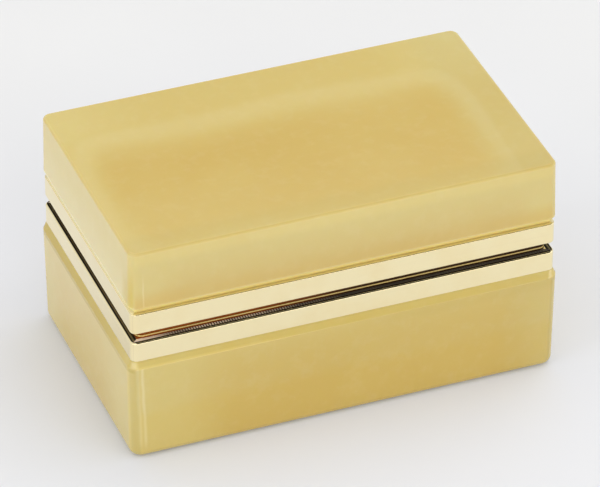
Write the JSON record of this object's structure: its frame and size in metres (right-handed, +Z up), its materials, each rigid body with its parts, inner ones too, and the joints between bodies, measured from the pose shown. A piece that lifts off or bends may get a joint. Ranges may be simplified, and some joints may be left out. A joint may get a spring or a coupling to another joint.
{
  "type": "decorative keepsake box",
  "caption": "Rectangular keepsake box of translucent honey stone: a hollowed base and a hinged lid, each edged with a polished gilt brass band.",
  "frame": {"origin": "middle of the underside, on the table", "axes": "+Z up, +X along the length, front towards -Y, hinge towards +Y"},
  "size_m": [0.15, 0.0904, 0.0803],
  "materials": {
    "honey_stone": "polished",
    "gilt_brass": "polished",
    "hinge_brass": "satin"
  },
  "bodies": {
    "base": {"base_block": "honey_stone", "base_band": "gilt_brass", "base_collar": "gilt_brass", "hinge_pin": "hinge_brass", "base_knuckle_1": "hinge_brass", "base_knuckle_2": "hinge_brass", "base_knuckle_3": "hinge_brass", "base_knuckle_4": "hinge_brass"},
    "lid": {"lid_block": "honey_stone", "lid_band": "gilt_brass", "lid_knuckle_1": "hinge_brass", "lid_knuckle_2": "hinge_brass", "lid_knuckle_3": "hinge_brass"}
  },
  "joints": [
    {"name": "lid_hinge", "type": "hinge", "parent": "base", "child": "lid", "pos_m": [0, 0.04238, 0.0474], "axis": [-1, 0, 0], "range_deg": [0, 100]}
  ]
}
